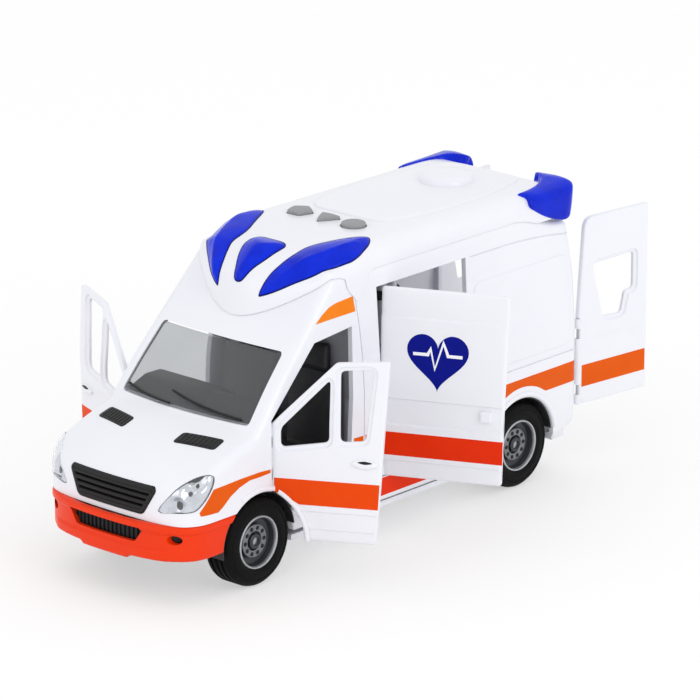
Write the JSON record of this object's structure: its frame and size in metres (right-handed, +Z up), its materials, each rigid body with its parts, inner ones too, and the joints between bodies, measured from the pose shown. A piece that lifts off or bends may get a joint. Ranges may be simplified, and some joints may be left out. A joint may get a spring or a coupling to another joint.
{
  "type": "toy ambulance",
  "caption": "Toy ambulance van with opening cab, side and rear doors, rolling wheels, blue roof beacons and push buttons on the roof.",
  "frame": {"origin": "on the floor under the middle of the model as it stands with its doors open, on the plane of symmetry of the body", "axes": "+X forward, towards the bumper; +Y to the van's left; +Z up"},
  "size_m": [0.3024, 0.1808, 0.1369],
  "materials": {
    "white_abs": "glossy moulded white",
    "orange_abs": "glossy moulded orange-red",
    "blue_lens": "clear tinted blue",
    "smoked_screen": "clear smoked",
    "clear_lens": "clear",
    "chrome_reflector": "vacuum plated",
    "black_abs": "fine moulded grain",
    "grey_abs": "fine moulded grain",
    "silver_paint": "silver paint",
    "tyre_rubber": "matt",
    "rim_grey": "silver-grey paint",
    "steel": "drawn wire",
    "cell_jacket": "plain printed sleeve",
    "board_green": "solder mask",
    "led_epoxy": "clear epoxy"
  },
  "bodies": {
    "van": {"body_shell": "white_abs", "roof_cap": "white_abs", "base_plate": "white_abs", "battery_cover": "white_abs", "front_bumper": "orange_abs", "front_left_beacon_lens": "blue_lens", "front_right_beacon_lens": "blue_lens", "centre_beacon_lens": "blue_lens", "rear_left_beacon_lens": "blue_lens", "rear_right_beacon_lens": "blue_lens", "windscreen": "smoked_screen", "headlight_lenses": "clear_lens", "headlight_reflectors": "chrome_reflector", "intake_mesh": "black_abs", "radiator_grille": "black_abs", "bonnet_vents": "black_abs", "dashboard": "black_abs", "steering_wheel": "black_abs", "cab_floor": "black_abs", "left_seat": "black_abs", "right_seat": "black_abs", "bottle_clamps": "black_abs", "button_switches": "black_abs", "speaker": "black_abs", "bulkhead": "grey_abs", "patient_floor": "grey_abs", "left_wheel_house": "grey_abs", "right_wheel_house": "grey_abs", "equipment_cabinet": "grey_abs", "oxygen_bottle": "silver_paint", "hinge_rods": "steel", "base_screws": "steel", "battery_cover_screw": "steel", "battery_contacts": "steel", "battery_cells": "cell_jacket", "circuit_board": "board_green", "beacon_leds": "led_epoxy"},
    "front_wheels": {"front_axle": "steel", "front_left_tyre": "tyre_rubber", "front_right_tyre": "tyre_rubber", "front_left_rim": "rim_grey", "front_right_rim": "rim_grey"},
    "rear_wheels": {"rear_axle": "steel", "rear_left_tyre": "tyre_rubber", "rear_right_tyre": "tyre_rubber", "rear_left_rim": "rim_grey", "rear_right_rim": "rim_grey"},
    "left_front_door": {"front_left_door": "white_abs"},
    "right_front_door": {"front_right_door": "white_abs"},
    "left_side_door": {"side_door": "white_abs"},
    "left_rear_door": {"rear_left_door": "white_abs"},
    "right_rear_door": {"rear_right_door": "white_abs"},
    "round_key": {"round_button": "grey_abs"},
    "triangle_key": {"triangle_button": "grey_abs"},
    "pentagon_key": {"pentagon_button": "grey_abs"}
  },
  "joints": [
    {"name": "front_axle_spin", "type": "hinge", "parent": "van", "child": "front_wheels", "pos_m": [0.10081, 0, 0.0196], "axis": [0, 1, 0], "continuous": true},
    {"name": "rear_axle_spin", "type": "hinge", "parent": "van", "child": "rear_wheels", "pos_m": [-0.06919, 0, 0.0196], "axis": [0, 1, 0], "continuous": true},
    {"name": "front_left_door_hinge", "type": "hinge", "parent": "van", "child": "left_front_door", "pos_m": [0.09191, 0.0417, 0.055], "axis": [0, 0, -1], "range_deg": [-61, 12]},
    {"name": "front_right_door_hinge", "type": "hinge", "parent": "van", "child": "right_front_door", "pos_m": [0.09191, -0.0417, 0.055], "axis": [0, 0, 1], "range_deg": [-70, 3]},
    {"name": "side_door_hinge", "type": "hinge", "parent": "van", "child": "left_side_door", "pos_m": [0.02231, 0.0417, 0.055], "axis": [0, 0, -1], "range_deg": [-65, 20]},
    {"name": "rear_left_door_hinge", "type": "hinge", "parent": "van", "child": "left_rear_door", "pos_m": [-0.10999, 0.0417, 0.055], "axis": [0, 0, -1], "range_deg": [-97, 13]},
    {"name": "rear_right_door_hinge", "type": "hinge", "parent": "van", "child": "right_rear_door", "pos_m": [-0.10999, -0.0417, 0.055], "axis": [0, 0, 1], "range_deg": [-97, 13]},
    {"name": "round_button_press", "type": "slide", "parent": "van", "child": "round_key", "axis": [0, 0, -1], "range_m": [0, 0.0012], "stiffness_N_per_m": 300},
    {"name": "triangle_button_press", "type": "slide", "parent": "van", "child": "triangle_key", "axis": [0, 0, -1], "range_m": [0, 0.0012], "stiffness_N_per_m": 300},
    {"name": "pentagon_button_press", "type": "slide", "parent": "van", "child": "pentagon_key", "axis": [0, 0, -1], "range_m": [0, 0.0012], "stiffness_N_per_m": 300}
  ]
}
